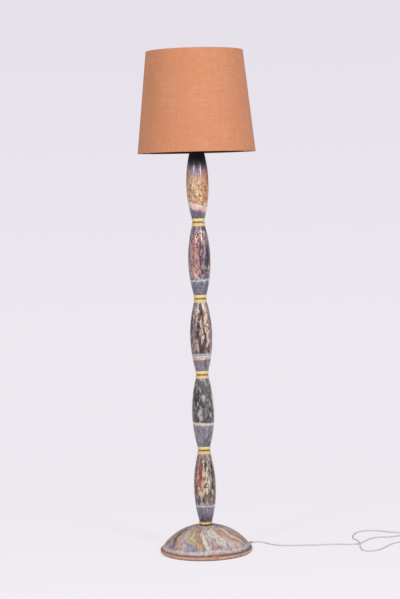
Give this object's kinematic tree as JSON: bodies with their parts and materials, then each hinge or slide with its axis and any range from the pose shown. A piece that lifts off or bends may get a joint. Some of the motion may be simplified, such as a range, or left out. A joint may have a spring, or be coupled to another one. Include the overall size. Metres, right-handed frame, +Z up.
{
  "type": "candlestick floor lamp",
  "caption": "Floor lamp with a column of turned, painted spindle sections on a domed round base, under a tapered drum shade.",
  "frame": {"origin": "on the floor under the middle of the base", "axes": "+Z up along the column, front faces -Y, the mains lead leaves the base toward +X"},
  "size_m": [0.9994, 0.5307, 1.65],
  "materials": {
    "felt": "felt",
    "plinth_paint": "painted and varnished",
    "dome_paint": "painted and varnished",
    "column_paint": "painted and varnished",
    "collar_paint": "painted and varnished",
    "ballast": "raw casting",
    "steel": "zinc plated",
    "brass": "satin",
    "copper": "bare strands",
    "bush_rubber": "moulded",
    "holder_plastic": "moulded",
    "holder_ceramic": "unglazed",
    "lead_plastic": "extruded",
    "plug_plastic": "moulded",
    "pin_metal": "nickel plated",
    "tie": "woven strap",
    "shade_linen": "plain weave",
    "lining": "matt",
    "shade_wire": "powder coat",
    "bulb_glass": "opal",
    "bulb_metal": "rolled thread"
  },
  "bodies": {
    "lamp": {"felt_pad": "felt", "base_plinth": "plinth_paint", "base_dome": "dome_paint", "base_ballast": "ballast", "plinth_screws": "steel", "cord_grommet": "bush_rubber", "pipe_foot_washer": "steel", "pipe_foot_nut": "brass", "foot_collar": "collar_paint", "top_collar": "collar_paint", "lamp_pipe": "steel", "cap_disc": "brass", "pipe_top_nut": "brass", "holder_cup": "holder_plastic", "holder_shell": "holder_plastic", "holder_insert": "holder_ceramic", "holder_screw_shell": "brass", "holder_contact": "brass", "holder_terminals": "brass", "lead_cores": "copper", "inner_lead": "lead_plastic", "mains_cord_run": "lead_plastic", "mains_cord_coil": "lead_plastic", "cord_tie": "tie", "plug_body": "plug_plastic", "plug_pins": "pin_metal", "spindle_1": "column_paint", "spindle_2": "column_paint", "spindle_3": "column_paint", "spindle_4": "column_paint", "spindle_5": "column_paint", "neck_collar_1": "collar_paint", "neck_collar_2": "collar_paint", "neck_collar_3": "collar_paint", "neck_collar_4": "collar_paint"},
    "shade": {"shade_cover": "shade_linen", "shade_lining": "lining", "shade_top_wire": "shade_wire", "shade_bottom_wire": "shade_wire", "carrier_ring": "shade_wire", "carrier_arms": "shade_wire"},
    "ring": {"shade_ring": "holder_plastic"},
    "bulb": {"bulb_envelope": "bulb_glass", "bulb_cap": "bulb_metal", "bulb_tip": "holder_plastic"},
    "switch": {"switch_bar": "holder_plastic"}
  },
  "joints": [
    {"name": "shade_turn", "type": "hinge", "parent": "lamp", "child": "shade", "pos_m": [0, 0, 1.397], "axis": [0, 0, 1], "continuous": true},
    {"name": "ring_unscrew", "type": "slide", "parent": "lamp", "child": "ring", "axis": [0, 0, 1], "range_m": [0, 0.02]},
    {"name": "bulb_unscrew", "type": "slide", "parent": "lamp", "child": "bulb", "axis": [0, 0, 1], "range_m": [0, 0.03]},
    {"name": "switch_push", "type": "slide", "parent": "lamp", "child": "switch", "axis": [1, 0, 0], "range_m": [0, 0.004]}
  ]
}
